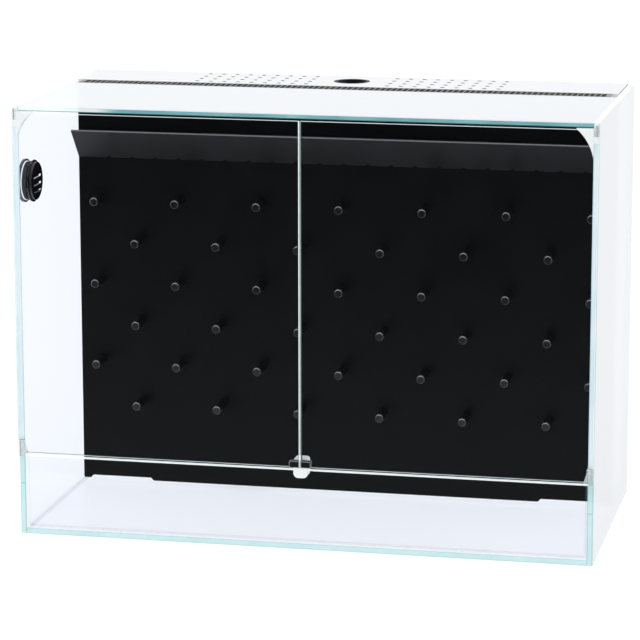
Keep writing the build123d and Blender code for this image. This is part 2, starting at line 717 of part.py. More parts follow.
with BuildPart() as vent_cap:
    with BuildSketch(Plane.YZ.offset(cap_base)):
        with Locations(vent_centre):
            Circle(VENT_BODY_D / 2)
    extrude(amount=VENT_CAP_REACH)
    fillet(vent_cap.edges().group_by(Axis.X)[-1], VENT_FACE_ROUND)
    with BuildSketch(Plane.YZ.offset(cap_base)):
        with Locations(vent_centre):
            Circle(VENT_CAP_FLANGE_D / 2)
    extrude(amount=VENT_CAP_FLANGE_T)
    with BuildSketch(Plane.YZ.offset(cap_base - VENT_CAP_SEAT_L)):
        with Locations(vent_centre):
            Circle(vent_bore - VENT_CAP_SEAT_GAP)
    extrude(amount=VENT_CAP_SEAT_L)
    with BuildSketch(Plane.YZ.offset(cap_base - VENT_CAP_SEAT_L)):
        with Locations(vent_centre):
            Circle(vent_bore - VENT_CAP_SEAT_GAP - VENT_WALL)
    extrude(amount=VENT_CAP_SEAT_L + VENT_CAP_REACH - VENT_FACE_T, mode=Mode.SUBTRACT)
    with BuildSketch(Plane.YZ.offset(vent_face - VENT_FACE_T)):
        for length, rise in zip(VENT_SLOT_LENGTHS, VENT_SLOT_RISES):
            with Locations((VENT_Y, VENT_Z + rise)):
                SlotOverall(length, VENT_SLOT_H)
        with Locations((VENT_Y, VENT_Z + VENT_PIN_RISE)):
            Circle(VENT_PIN_D / 2)
    extrude(amount=VENT_FACE_T, mode=Mode.SUBTRACT)
save(vent_cap, "vent_cap")

with BuildPart() as vent_gasket:
    with BuildSketch(Plane.YZ.offset(-TANK_W / 2)):
        with Locations(vent_centre):
            Circle(VENT_GLASS_D / 2 - GASKET_GAP)
    extrude(amount=SIDE_GLASS)
    with BuildSketch(Plane.YZ.offset(-SIDE_IN)):
        with Locations(vent_centre):
            Circle(GASKET_LIP_D / 2)
    extrude(amount=GASKET_LIP_T)
    with BuildSketch(Plane.YZ.offset(-TANK_W / 2)):
        with Locations(vent_centre):
            Circle(VENT_BODY_D / 2 + GASKET_GAP)
    extrude(amount=SIDE_GLASS + GASKET_LIP_T, mode=Mode.SUBTRACT)
save(vent_gasket, "vent_gasket")

screen_places = []
for i in range(SCREEN_COUNT):
    for j in range(SCREEN_COUNT):
        y = (i - (SCREEN_COUNT - 1) / 2) * SCREEN_PITCH
        z = (j - (SCREEN_COUNT - 1) / 2) * SCREEN_PITCH
        if hypot(y, z) < SCREEN_OPEN_R:
            screen_places.append((VENT_Y + y, VENT_Z + z))
with BuildPart() as vent_screen:
    with BuildSketch(Plane.YZ.offset(-TANK_W / 2 - VENT_FLANGE_T)):
        with Locations(vent_centre):
            Circle(SCREEN_D / 2)
        with Locations(*screen_places):
            Rectangle(SCREEN_HOLE, SCREEN_HOLE, mode=Mode.SUBTRACT)
    extrude(amount=SCREEN_T)
save(vent_screen, "vent_screen")

# Pump in the chamber behind the wall, its axis along X and its outlet upright
cup_places = []
for x in (PUMP_FACE - PUMP_L + CUP_INSET, PUMP_FACE - CUP_INSET):
    for y in (PUMP_Y_LOW + CUP_INSET, PUMP_Y_LOW + PUMP_D - CUP_INSET):
        cup_places.append((x, y))
volute_floor = PUMP_FACE - VOLUTE_T

with BuildPart() as pump_body:
    add_block(
        (PUMP_FACE - PUMP_L, PUMP_Y_LOW, PUMP_BOTTOM),
        (PUMP_FACE, PUMP_Y_LOW + PUMP_D, PUMP_TOP),
    )
    fillet(pump_body.edges().filter_by(Axis.Z).group_by(Axis.X)[0], PUMP_EDGE)
    with BuildSketch(Plane.XY.offset(PUMP_TOP)):
        with Locations((OUTLET_X, BAR_Y)):
            Circle(NIPPLE_D / 2)
    extrude(amount=NIPPLE_L)
    with BuildSketch(Plane.YZ.offset(volute_floor)):
        with Locations((PUMP_Y, PUMP_AXIS_Z)):
            Circle(VOLUTE_R)
    extrude(amount=VOLUTE_T, mode=Mode.SUBTRACT)
    with BuildSketch(Plane.XY.offset(PUMP_AXIS_Z)):
        with Locations((OUTLET_X, BAR_Y)):
            Circle(NIPPLE_BORE / 2)
    extrude(amount=PUMP_TOP + NIPPLE_L - PUMP_AXIS_Z, mode=Mode.SUBTRACT)
    with BuildSketch(Plane.YZ.offset(volute_floor - SHAFT_SEAT)):
        with Locations((PUMP_Y, PUMP_AXIS_Z)):
            Circle(SHAFT_R + SHAFT_PRESS_GAP)
    extrude(amount=SHAFT_SEAT, mode=Mode.SUBTRACT)
    with BuildSketch(Plane.XY.offset(PUMP_BOTTOM)):
        with Locations(*cup_places):
            Circle(CUP_STEM_D / 2 + PEG_HOLE_GAP)
    extrude(amount=CUP_STEM_L, mode=Mode.SUBTRACT)
save(pump_body, "pump_body")

with BuildPart() as pump_intake_cover:
    add_block(
        (PUMP_FACE, PUMP_Y_LOW, PUMP_BOTTOM),
        (PUMP_FACE + INTAKE_T, PUMP_Y_LOW + PUMP_D, PUMP_TOP),
    )
    fillet(pump_intake_cover.edges().filter_by(Axis.Z).group_by(Axis.X)[-1], PUMP_EDGE)
    with BuildSketch(Plane.YZ.offset(PUMP_FACE)):
        with Locations((PUMP_Y, PUMP_AXIS_Z)):
            with PolarLocations(INTAKE_SLOT_R, INTAKE_SLOTS):
                SlotOverall(INTAKE_SLOT_L, INTAKE_SLOT_W)
    extrude(amount=INTAKE_T, mode=Mode.SUBTRACT)
    with BuildSketch(Plane.YZ.offset(PUMP_FACE)):
        with Locations((PUMP_Y, PUMP_AXIS_Z)):
            Circle(SHAFT_R + SHAFT_PRESS_GAP)
    extrude(amount=SHAFT_TIP, mode=Mode.SUBTRACT)
save(pump_intake_cover, "pump_intake_cover")

with BuildPart() as pump_shaft:
    with BuildSketch(Plane.YZ.offset(volute_floor - SHAFT_SEAT)):
        with Locations((PUMP_Y, PUMP_AXIS_Z)):
            Circle(SHAFT_R)
    extrude(amount=SHAFT_SEAT + VOLUTE_T + SHAFT_TIP)
save(pump_shaft, "pump_shaft")

with BuildPart() as pump_impeller:
    with BuildSketch(Plane.YZ.offset(volute_floor + IMPELLER_END_GAP)):
        with Locations((PUMP_Y, PUMP_AXIS_Z)):
            Circle(IMPELLER_R)
    extrude(amount=IMPELLER_DISC_T)
    with BuildSketch(Plane.YZ.offset(volute_floor + IMPELLER_END_GAP)):
        with Locations((PUMP_Y, PUMP_AXIS_Z)):
            Circle(IMPELLER_HUB_R)
            for turn in range(IMPELLER_VANES):
                angle = turn * 2 * pi / IMPELLER_VANES
                reach = (IMPELLER_R + IMPELLER_HUB_R) / 2 - SHAFT_R / 2
                with Locations((reach * cos(angle), reach * sin(angle))):
                    Rectangle(
                        IMPELLER_R - IMPELLER_HUB_R,
                        IMPELLER_VANE_T,
                        rotation=turn * 360 / IMPELLER_VANES,
                    )
    extrude(amount=VOLUTE_T - 2 * IMPELLER_END_GAP)
    with BuildSketch(Plane.YZ.offset(volute_floor)):
        with Locations((PUMP_Y, PUMP_AXIS_Z)):
            Circle(SHAFT_R + IMPELLER_BORE_GAP)
    extrude(amount=VOLUTE_T, mode=Mode.SUBTRACT)
save(pump_impeller, "pump_impeller")

with BuildPart() as pump_suction_cups:
    for x, y in cup_places:
        with BuildSketch(Plane.XZ.offset(-y)):
            with BuildLine():
                Polyline(
                    (x, FLOOR_GLASS),
                    (x + CUP_D / 2, FLOOR_GLASS),
                    (x + CUP_D / 2, FLOOR_GLASS + CUP_LIP_H),
                    (x + CUP_NECK_D / 2, PUMP_BOTTOM),
                    (x + CUP_STEM_D / 2, PUMP_BOTTOM),
                    (x + CUP_STEM_D / 2, PUMP_BOTTOM + CUP_STEM_L),
                    (x, PUMP_BOTTOM + CUP_STEM_L),
                    close=True,
                )
            make_face()
        revolve(axis=Axis((x, y, 0), (0, 0, 1)))
save(pump_suction_cups, "pump_suction_cups")

# Spray bar behind the feed slot, its inlet stub and the riser pipe up to it
stub_low = BAR_Z - BAR_D / 2 - STUB_L
with BuildPart() as spray_bar:
    with BuildSketch(Plane.YZ.offset(-BAR_L / 2)):
        with Locations((BAR_Y, BAR_Z)):
            Circle(BAR_D / 2)
    extrude(amount=BAR_L)
    with BuildSketch(Plane.XY.offset(stub_low)):
        with Locations((OUTLET_X, BAR_Y)):
            Circle(NIPPLE_D / 2)
    extrude(amount=BAR_Z - stub_low)
    with BuildSketch(Plane.YZ.offset(-BAR_L / 2)):
        with Locations((BAR_Y, BAR_Z)):
            Circle(BAR_BORE / 2)
    extrude(amount=BAR_L, mode=Mode.SUBTRACT)
    with BuildSketch(Plane.XY.offset(stub_low)):
        with Locations((OUTLET_X, BAR_Y)):
            Circle(STUB_BORE / 2)
    extrude(amount=BAR_Z - stub_low, mode=Mode.SUBTRACT)
    with BuildSketch(Plane.XZ.offset(-BAR_Y)):
        with Locations((0, BAR_Z)):
            with GridLocations(NOTCH_PITCH, 1, BAR_HOLES, 1):
                Circle(BAR_HOLE_D / 2)
    extrude(amount=BAR_D, mode=Mode.SUBTRACT)
save(spray_bar, "spray_bar")

with BuildPart() as spray_bar_caps:
    for side in (-1, 1):
        with BuildSketch(Plane.YZ.offset(side * BAR_L / 2)):
            with Locations((BAR_Y, BAR_Z)):
                Circle(BAR_D / 2)
        extrude(amount=side * CAP_T)
        with BuildSketch(Plane.YZ.offset(side * BAR_L / 2)):
            with Locations((BAR_Y, BAR_Z)):
                Circle(BAR_BORE / 2 - PIPE_FIT_GAP)
        extrude(amount=-side * CAP_SPIGOT_L)
save(spray_bar_caps, "spray_bar_caps")

with BuildPart() as spray_bar_clips:
    clip_r = BAR_D / 2 + CLIP_BORE_GAP
    for x in (-CLIP_X, CLIP_X):
        with BuildSketch(Plane.YZ.offset(x - CLIP_W / 2)):
            with Locations((BAR_Y, BAR_Z)):
                Circle(clip_r + CLIP_RIM)
            with Locations(((WALL_BACK + BAR_Y) / 2, BAR_Z)):
                Rectangle(BAR_Y - WALL_BACK, 2 * (clip_r + CLIP_RIM))
            with Locations((BAR_Y, BAR_Z)):
                Circle(clip_r, mode=Mode.SUBTRACT)
        extrude(amount=CLIP_W)
save(spray_bar_clips, "spray_bar_clips")

with BuildPart() as riser_pipe:
    with BuildSketch(Plane.XY.offset(PUMP_TOP)):
        with Locations((OUTLET_X, BAR_Y)):
            Circle(PIPE_R_IN + PIPE_WALL)
            Circle(PIPE_R_IN, mode=Mode.SUBTRACT)
    extrude(amount=BAR_Z - BAR_D / 2 - PIPE_HEAD_GAP - PUMP_TOP)
save(riser_pipe, "riser_pipe")
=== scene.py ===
from math import pi

import bmesh
import bpy
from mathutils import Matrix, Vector


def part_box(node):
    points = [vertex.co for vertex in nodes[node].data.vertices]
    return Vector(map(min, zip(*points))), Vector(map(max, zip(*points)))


# Frameless glass paludarium with a black planting wall, in metres.
# X right, Y to the back, Z up, the middle of its footprint at the origin.

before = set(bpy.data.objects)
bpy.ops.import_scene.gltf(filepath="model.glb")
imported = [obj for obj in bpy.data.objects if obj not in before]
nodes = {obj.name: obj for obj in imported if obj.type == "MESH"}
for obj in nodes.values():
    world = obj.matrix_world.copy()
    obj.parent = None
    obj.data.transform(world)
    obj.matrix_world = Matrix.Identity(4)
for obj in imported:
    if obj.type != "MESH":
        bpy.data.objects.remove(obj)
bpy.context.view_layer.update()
scene = bpy.context.scene

MM = 0.001
HANDS = ("left", "right")
LEVELS = ("upper", "lower")

# Side vent: a place on its axis, and the millimetres that take in its hole and its slots
VENT = (-291 * MM, -108 * MM, 366.5 * MM)
VENT_HOLE_REACH = 27
VENT_SLOT_REACH = 15.65

# Side panes, in millimetres up: the doors cover their front edge from here, and it bears a mark
COVERED_FROM, COVERED_WHOLLY = 86, 90
EDGE_MARK = 54

LIP_RISE = 0.742                        # how far the trough flap's sawn lip looks up
FACING = 0.9                            # a normal with this much of an axis looks along it
GLASS_IOR = 1.5
PALE, DEEP = -1.0, 1.0                  # ends of the scale of a glass edge's tone
CLOUD_LOW, CLOUD_HIGH = 0.3, 0.7        # where the soft patches of a finish begin and end


# ---------------------------------------------------------------- small tools

def colour(code):
    """A colour written as sRGB hex, as the linear values a shader takes."""
    parts = [int(code[i:i + 2], 16) / 255 for i in (1, 3, 5)]
    linear = [c / 12.92 if c <= 0.04045 else ((c + 0.055) / 1.055) ** 2.4 for c in parts]
    return (*linear, 1.0)


def size(mm):
    """Scale of a pattern whose features are this many millimetres apart."""
    return 1 / (mm * MM)


def span(piece, axis):
    """Lowest and highest place of a CAD node along an axis."""
    return [corner["XYZ".index(axis)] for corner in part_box(piece)]


def add_node(tree, kind, settings=None, inputs=None):
    """One node with its settings, its inputs set to numbers or linked to outputs.

    A Mix node has its two colours at inputs 6 and 7 and its result at output 2."""
    made = tree.nodes.new(kind)
    for name, value in (settings or {}).items():
        setattr(made, name, value)
    for key, value in (inputs or {}).items():
        if isinstance(value, bpy.types.NodeSocket):
            tree.links.new(value, made.inputs[key])
        else:
            made.inputs[key].default_value = value
    return made


def empty_material(name):
    """A material without nodes, and its tree."""
    material = bpy.data.materials.new(name)
    material.use_nodes = True
    material.node_tree.nodes.clear()
    return material, material.node_tree


def dress(material, *names):
    """Give CAD nodes their finish."""
    for name in names:
        for material_slot in nodes[name].material_slots:
            material_slot.material = material


# ------------------------------------------------------- parts of the finishes

def near_vent(tree, place, reach):
    """1 within a reach in millimetres of the vent's middle, else 0."""
    away = add_node(tree, "ShaderNodeVectorMath", {"operation": "DISTANCE"}, {
        0: place.outputs["Object"], 1: VENT})
    return add_node(tree, "ShaderNodeMath", {"operation": "LESS_THAN"}, {
        0: away.outputs["Value"], 1: reach * MM})


def two_tones(tree, place, base, other, patch, spread=(0.0, 1.0)):
    """Two close tones in soft patches this many millimetres wide: the pattern, then the tones."""
    cloud = add_node(tree, "ShaderNodeTexNoise", {}, {
        "Vector": place.outputs["Object"], "Scale": size(patch), "Detail": 3.0})
    share = add_node(tree, "ShaderNodeMapRange", {}, {
        "Value": cloud.outputs[0], "From Min": spread[0], "From Max": spread[1]})
    tones = add_node(tree, "ShaderNodeMix", {"data_type": "RGBA"}, {
        "Factor": share.outputs[0], 6: colour(base), 7: colour(other)})
    return cloud, tones


def fine_relief(tree, place, grain, depth, stretch):
    """Grain or tool lines in relief, this many millimetres apart, drawn out along an axis."""
    drawn = add_node(tree, "ShaderNodeMapping", {}, {
        "Vector": place.outputs["Object"], "Scale": stretch})
    speck = add_node(tree, "ShaderNodeTexNoise", {}, {
        "Vector": drawn.outputs[0], "Scale": size(grain), "Detail": 2.0})
    return add_node(tree, "ShaderNodeBump", {}, {
        "Height": speck.outputs[0], "Strength": 0.6, "Distance": depth * MM})


def free_edges(tree, place, normal, rise, axis, glued):
    """1 on a pane's free edges, 0 on its faces, in its bore and where it is glued."""
    turned = add_node(tree, "ShaderNodeMath", {"operation": "ABSOLUTE"}, {0: normal.outputs[axis]})
    on_edge = add_node(tree, "ShaderNodeMath", {"operation": "LESS_THAN"}, {
        0: turned.outputs[0], 1: FACING})
    hidden = [near_vent(tree, place, VENT_HOLE_REACH)]
    if "X" in glued:
        sideways = add_node(tree, "ShaderNodeMath", {"operation": "ABSOLUTE"}, {
            0: normal.outputs["X"]})
        hidden.append(add_node(tree, "ShaderNodeMath", {"operation": "GREATER_THAN"}, {
            0: sideways.outputs[0], 1: FACING}))
    if "Z" in glued:
        hidden.append(add_node(tree, "ShaderNodeMath", {"operation": "LESS_THAN"}, {
            0: rise.outputs[0], 1: -FACING}))
    for part in hidden:
        on_edge = add_node(tree, "ShaderNodeMath", {"operation": "SUBTRACT", "use_clamp": True}, {
            0: on_edge.outputs[0], 1: part.outputs[0]})
    return on_edge


def clear_face(tree, side, haze):
    """See-through glass, with the shine of both surfaces put on the one that looks outwards.

    The shine grows from almost nothing in front to the haze at a low angle, and the skin's pale
    colour there is a painted reflection of the bright surroundings."""
    slant = add_node(tree, "ShaderNodeFresnel", {}, {"IOR": GLASS_IOR})
    shine = add_node(tree, "ShaderNodeMapRange", {}, {
        "Value": slant.outputs[0], "From Min": 0.05, "From Max": 0.42,
        "To Min": 0.002, "To Max": haze})
    outward = add_node(tree, "ShaderNodeMath", {"operation": "SUBTRACT"}, {
        0: 1.0, 1: side.outputs["Backfacing"]})
    amount = add_node(tree, "ShaderNodeMath", {"operation": "MULTIPLY"}, {
        0: shine.outputs[0], 1: outward.outputs[0]})
    clear = add_node(tree, "ShaderNodeBsdfTransparent", {}, {"Color": colour("#fcfdff")})
    # The pale skin is a painted reflection, mixed in at a low angle
    skin = add_node(tree, "ShaderNodeBsdfPrincipled", {}, {
        "Base Color": colour("#eef3fb"), "Roughness": 0.03, "IOR": GLASS_IOR})
    return add_node(tree, "ShaderNodeMixShader", {}, {
        0: amount.outputs[0], 1: clear.outputs[0], 2: skin.outputs[0]})


def edge_tone(tree, place, spot, rise, across, thick, under, veil, tick):
    """How deep the green of an edge looks: slow changes along it, and what its place adds: painted
    light where it looks up or lies under a veil, painted shade where it looks down.
    """
    drift = add_node(tree, "ShaderNodeTexNoise", {}, {
        "Vector": place.outputs["Object"], "Scale": size(45), "Detail": 2.0})
    tone = add_node(tree, "ShaderNodeMapRange", {}, {
        "Value": drift.outputs[0], "From Min": 0.35, "From Max": 0.65,
        "To Min": -0.08, "To Max": 0.25})
    away = add_node(tree, "ShaderNodeMath", {"operation": "ABSOLUTE"}, {0: across.outputs[0]})
    arris = add_node(tree, "ShaderNodeMapRange", {"interpolation_type": "SMOOTHSTEP"}, {
        "Value": away.outputs[0], "From Min": thick * 0.25, "From Max": thick * 0.42,
        "To Min": 0.0, "To Max": 0.7})
    # Painted light where an edge looks up, and painted shade where it looks down
    painted_top_light = add_node(tree, "ShaderNodeMapRange", {}, {
        "Value": rise.outputs[0], "From Min": 0.2, "From Max": 0.7, "To Min": 0.0, "To Max": -1.7})
    painted_underside_tone = add_node(tree, "ShaderNodeMapRange", {}, {
        "Value": rise.outputs[0], "From Min": -0.7, "From Max": -0.2, "To Min": under, "To Max": 0.0})
    added = [arris, painted_top_light, painted_underside_tone]
    # The veil is painted light: a paler band on the edge
    if veil is not None:
        along, start, full, paler = veil
        added.append(add_node(tree, "ShaderNodeMapRange", {}, {
            "Value": spot.outputs[along], "From Min": start * MM, "From Max": full * MM,
            "To Min": 0.0, "To Max": -paler}))
    if tick is not None:
        added.append(add_node(tree, "ShaderNodeMath", {"operation": "COMPARE"}, {
            0: spot.outputs["Z"], 1: tick * MM, 2: 0.8 * MM}))
    for part in added:
        tone = add_node(tree, "ShaderNodeMath", {"operation": "ADD"}, {
            0: tone.outputs[0], 1: part.outputs[0]})
    return tone


def seen_through(tree, side, rise, across, line):
    """How far an edge that is seen through its own pane is painted dark, painted shade: a meeting
    end wholly, and a foot on its rear half."""
    end = add_node(tree, "ShaderNodeMath", {"operation": "MULTIPLY"}, {
        0: line.outputs[0], 1: side.outputs["Backfacing"]})
    down = add_node(tree, "ShaderNodeMapRange", {}, {
        "Value": rise.outputs[0], "From Min": -0.7, "From Max": -FACING})
    rear = add_node(tree, "ShaderNodeMapRange", {}, {
        "Value": across.outputs[0], "From Min": -0.4 * MM, "From Max": 0.8 * MM,
        "To Min": 0.0, "To Max": 0.85})
    foot = add_node(tree, "ShaderNodeMath", {"operation": "MULTIPLY"}, {
        0: down.outputs[0], 1: rear.outputs[0]})
    either = add_node(tree, "ShaderNodeMath", {"operation": "MAXIMUM"}, {
        0: end.outputs[0], 1: foot.outputs[0]})
    return add_node(tree, "ShaderNodeMapRange", {}, {
        "Value": either.outputs[0], "From Max": 0.75, "To Max": 0.96})


# ------------------------------------------------------------------- finishes

def float_glass(name, pieces, axis, edge="#cfeff1", border="#a3d9dd", haze=0.5, body=0.8,
                glow=0.2, under=0.0, glued="", veil=None, tick=None, outline=None):
    """Clear float glass with ground and polished edges, for panes that are thin along an axis.

    From in front its faces are almost unseen and from a low angle they turn pale, up to haze: a
    painted reflection of the bright surroundings.
    Its free edges show the green of the glass: body is how solid they look, and glow a painted glow
    that stands for the light the pane pipes to them. They are darker along the two arrises, painted
    paler where they look up and, by under, painted darker where they look down, painted light and
    shade. Glued ends (X) and a foot that something stands against (Z) stay clear, and so does a
    bore. A veil pales the edge between two places along an axis, painted light, a tick is the
    height of a mark across the edge, and an outline the width of the painted dark line, painted
    shade, that a meeting edge throws into the face."""
    material, tree = empty_material(name)
    place = add_node(tree, "ShaderNodeTexCoord")
    normal = add_node(tree, "ShaderNodeSeparateXYZ", {}, {0: place.outputs["Normal"]})
    spot = add_node(tree, "ShaderNodeSeparateXYZ", {}, {0: place.outputs["Object"]})
    side = add_node(tree, "ShaderNodeNewGeometry")
    low, high = span(pieces[0], axis)
    across = add_node(tree, "ShaderNodeMath", {"operation": "SUBTRACT"}, {
        0: spot.outputs[axis], 1: (low + high) / 2})

    # The normal comes turned round where a surface is seen from inside the glass
    facing = add_node(tree, "ShaderNodeMapRange", {}, {
        "Value": side.outputs["Backfacing"], "To Min": 1.0, "To Max": -1.0})
    rise = add_node(tree, "ShaderNodeMath", {"operation": "MULTIPLY"}, {
        0: normal.outputs["Z"], 1: facing.outputs[0]})

    face = clear_face(tree, side, haze)
    tone = edge_tone(tree, place, spot, rise, across, high - low, under, veil, tick)
    # The outline is painted shade: a dark line on the faces beside the doors' meeting edge
    if outline is not None:
        off_centre = add_node(tree, "ShaderNodeMath", {"operation": "ABSOLUTE"}, {
            0: spot.outputs["X"]})
        line = add_node(tree, "ShaderNodeMapRange", {"interpolation_type": "SMOOTHSTEP"}, {
            "Value": off_centre.outputs[0], "From Min": outline * 0.7 * MM,
            "From Max": outline * 1.2 * MM, "To Min": 0.75, "To Max": 0.0})
        dark = add_node(tree, "ShaderNodeBsdfPrincipled", {}, {
            "Base Color": colour("#16292a"), "Roughness": 0.3, "IOR": GLASS_IOR})
        face = add_node(tree, "ShaderNodeMixShader", {}, {
            0: line.outputs[0], 1: face.outputs[0], 2: dark.outputs[0]})
        tone = add_node(tree, "ShaderNodeMath", {"operation": "MULTIPLY_ADD"}, {
            0: line.outputs[0], 1: -1.3, 2: tone.outputs[0]})

    share = add_node(tree, "ShaderNodeMapRange", {}, {
        "Value": tone.outputs[0], "From Min": PALE, "From Max": DEEP})
    green = add_node(tree, "ShaderNodeValToRGB", {}, {0: share.outputs[0]})
    ramp = green.color_ramp
    ramp.elements[0].position, ramp.elements[0].color = 0.2, colour("#fbffff")
    ramp.elements[1].position, ramp.elements[1].color = 0.95, colour(border)
    ramp.elements.new(0.5).color = colour(edge)
    # The edges' emission is a painted glow for the light that the pane pipes to them
    ground = add_node(tree, "ShaderNodeBsdfPrincipled", {}, {
        "Base Color": green.outputs[0], "Roughness": 0.12, "IOR": GLASS_IOR,
        "Emission Color": green.outputs[0], "Emission Strength": glow})
    through = add_node(tree, "ShaderNodeBsdfTransparent", {}, {"Color": colour("#d8f2f2")})
    rim = add_node(tree, "ShaderNodeMixShader", {}, {
        0: body, 1: through.outputs[0], 2: ground.outputs[0]})
    # Edges seen through their own pane take painted shade
    if outline is not None:
        rim = add_node(tree, "ShaderNodeMixShader", {}, {
            0: seen_through(tree, side, rise, across, line).outputs[0],
            1: rim.outputs[0], 2: dark.outputs[0]})
    on_edge = free_edges(tree, place, normal, rise, axis, glued)
    surface = add_node(tree, "ShaderNodeMixShader", {}, {
        0: on_edge.outputs[0], 1: face.outputs[0], 2: rim.outputs[0]})
    add_node(tree, "ShaderNodeOutputMaterial", {}, {"Surface": surface.outputs[0]})
    dress(material, *pieces)


def worked(name, base, other, patch, rough, grain, depth, stretch=(1, 1, 1), cut=None, **shader):
    """A solid finish: two close tones in patches, a fine grain in relief, and roughness that
    follows the patches. Sizes are in millimetres; stretch draws the grain out along an axis.
    Cut faces, whose normal has about this value along Z, take a tone of their own: a painted
    highlight on the trough flap's lip, a darker grey on the cover's edges and holes. Skins and
    lines finer than about half a millimetre are drawn as coarse as they need to show."""
    material, tree = empty_material(name)
    place = add_node(tree, "ShaderNodeTexCoord")
    cloud, tones = two_tones(tree, place, base, other, patch, (CLOUD_LOW, CLOUD_HIGH))
    # Cut faces take their own tone: a painted highlight on the trough flap's lip
    if cut is not None:
        value, within, facet_tone = cut
        normal = add_node(tree, "ShaderNodeSeparateXYZ", {}, {0: place.outputs["Normal"]})
        faces = add_node(tree, "ShaderNodeMath", {"operation": "COMPARE"}, {
            0: normal.outputs["Z"], 1: value, 2: within})
        tones = add_node(tree, "ShaderNodeMix", {"data_type": "RGBA"}, {
            "Factor": faces.outputs[0], 6: tones.outputs[2], 7: colour(facet_tone)})
    gloss = add_node(tree, "ShaderNodeMapRange", {}, {
        "Value": cloud.outputs[0], "From Min": CLOUD_LOW, "From Max": CLOUD_HIGH,
        "To Min": rough[0], "To Max": rough[1]})
    relief = fine_relief(tree, place, grain, depth, stretch)
    surface = add_node(tree, "ShaderNodeBsdfPrincipled", {}, {
        "Base Color": tones.outputs[2], "Roughness": gloss.outputs[0],
        "Normal": relief.outputs[0], **shader})
    add_node(tree, "ShaderNodeOutputMaterial", {}, {"Surface": surface.outputs[0]})
    return material


def turned_rod(name):
    """Turned acetal rod: satin black with faint tool lines, and a painted highlight on its
    chamfered tips, brightest on their upper side.
    """
    material, tree = empty_material(name)
    place = add_node(tree, "ShaderNodeTexCoord")
    normal = add_node(tree, "ShaderNodeSeparateXYZ", {}, {0: place.outputs["Normal"]})
    _, black = two_tones(tree, place, "#0a0b0d", "#121316", 8)
    # Painted highlight: the chamfer faces turn pale, the more so where they look up
    chamfer = add_node(tree, "ShaderNodeMath", {"operation": "COMPARE"}, {
        0: normal.outputs["Y"], 1: -0.707, 2: 0.2})
    height = add_node(tree, "ShaderNodeMapRange", {}, {
        "Value": normal.outputs["Z"], "From Min": 0.2, "From Max": 0.8,
        "To Min": 0.1, "To Max": 0.9})
    bright = add_node(tree, "ShaderNodeMath", {"operation": "MULTIPLY"}, {
        0: chamfer.outputs[0], 1: height.outputs[0]})
    tone = add_node(tree, "ShaderNodeMix", {"data_type": "RGBA"}, {
        "Factor": bright.outputs[0], 6: black.outputs[2], 7: colour("#b0b2b4")})
    relief = fine_relief(tree, place, 0.5, 0.02, (0.05, 1, 0.05))
    surface = add_node(tree, "ShaderNodeBsdfPrincipled", {}, {
        "Base Color": tone.outputs[2], "Roughness": 0.32, "IOR": 1.48,
        "Normal": relief.outputs[0]})
    add_node(tree, "ShaderNodeOutputMaterial", {}, {"Surface": surface.outputs[0]})
    return material


def sheared_steel(name, piece):
    """Blued spring steel, near black, with a bright band along the sheared edges of a plate."""
    material, tree = empty_material(name)
    place = add_node(tree, "ShaderNodeTexCoord")
    spot = add_node(tree, "ShaderNodeSeparateXYZ", {}, {0: place.outputs["Object"]})
    bands = []
    for axis in "XZ":
        low, high = span(piece, axis)
        from_middle = add_node(tree, "ShaderNodeMath", {"operation": "SUBTRACT"}, {
            0: spot.outputs[axis], 1: (low + high) / 2})
        away = add_node(tree, "ShaderNodeMath", {"operation": "ABSOLUTE"}, {
            0: from_middle.outputs[0]})
        half = (high - low) / 2
        bands.append(add_node(tree, "ShaderNodeMapRange", {}, {
            "Value": away.outputs[0], "From Min": half - 0.7 * MM, "From Max": half - 0.45 * MM}))
    rim = add_node(tree, "ShaderNodeMath", {"operation": "MAXIMUM"}, {
        0: bands[0].outputs[0], 1: bands[1].outputs[0]})
    _, blue = two_tones(tree, place, "#1a1d20", "#272b30", 3)
    tone = add_node(tree, "ShaderNodeMix", {"data_type": "RGBA"}, {
        "Factor": rim.outputs[0], 6: blue.outputs[2], 7: colour("#bcc1c1")})
    gloss = add_node(tree, "ShaderNodeMapRange", {}, {
        "Value": rim.outputs[0], "To Min": 0.35, "To Max": 0.6})
    surface = add_node(tree, "ShaderNodeBsdfPrincipled", {}, {
        "Base Color": tone.outputs[2], "Metallic": 1.0, "Roughness": gloss.outputs[0]})
    add_node(tree, "ShaderNodeOutputMaterial", {}, {"Surface": surface.outputs[0]})
    return material


